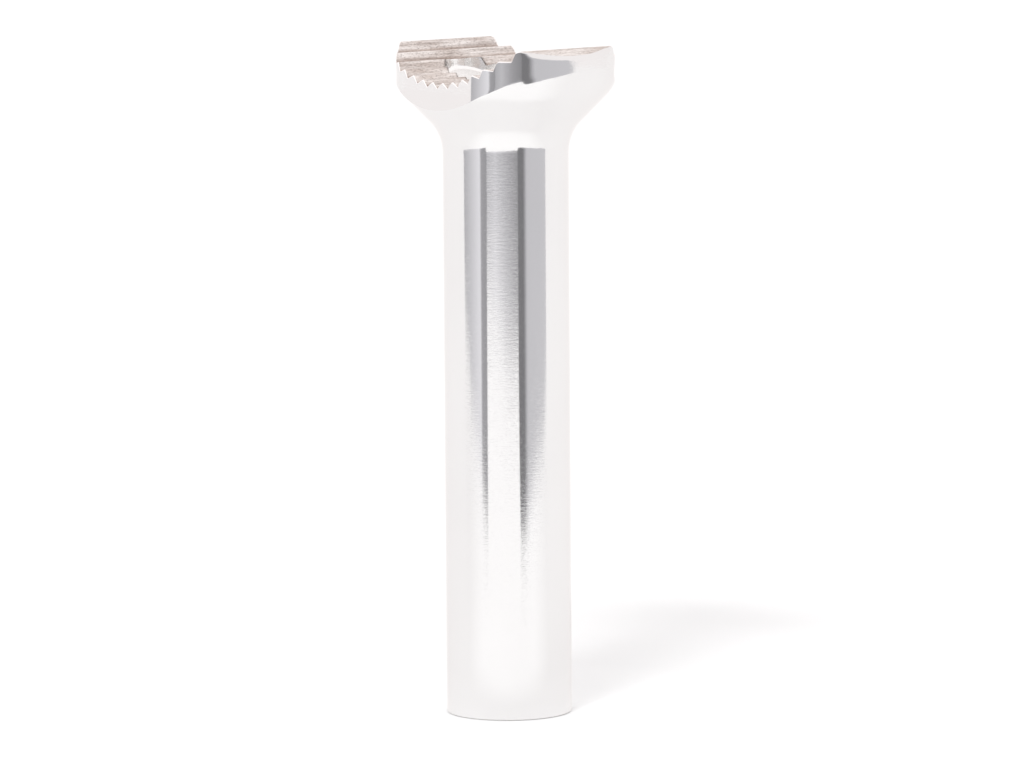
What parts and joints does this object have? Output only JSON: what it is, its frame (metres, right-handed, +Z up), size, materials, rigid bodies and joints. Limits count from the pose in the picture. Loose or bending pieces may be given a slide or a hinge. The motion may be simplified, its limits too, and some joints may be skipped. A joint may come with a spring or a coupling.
{
  "type": "bicycle seatpost",
  "caption": "Short straight seatpost: a round tube that flares into a flat-sided head with a concave serrated cradle and a central bolt slot.",
  "frame": {"origin": "centre of the tube's bottom end", "axes": "+Z up along the tube, X along the cradle fore and aft, Y across the post"},
  "size_m": [0.0452, 0.0368, 0.1354],
  "materials": {
    "polished_aluminium": "polished outside, plain machined cradle and bore"
  },
  "bodies": {
    "root": {"seatpost": "polished_aluminium"}
  },
  "joints": []
}
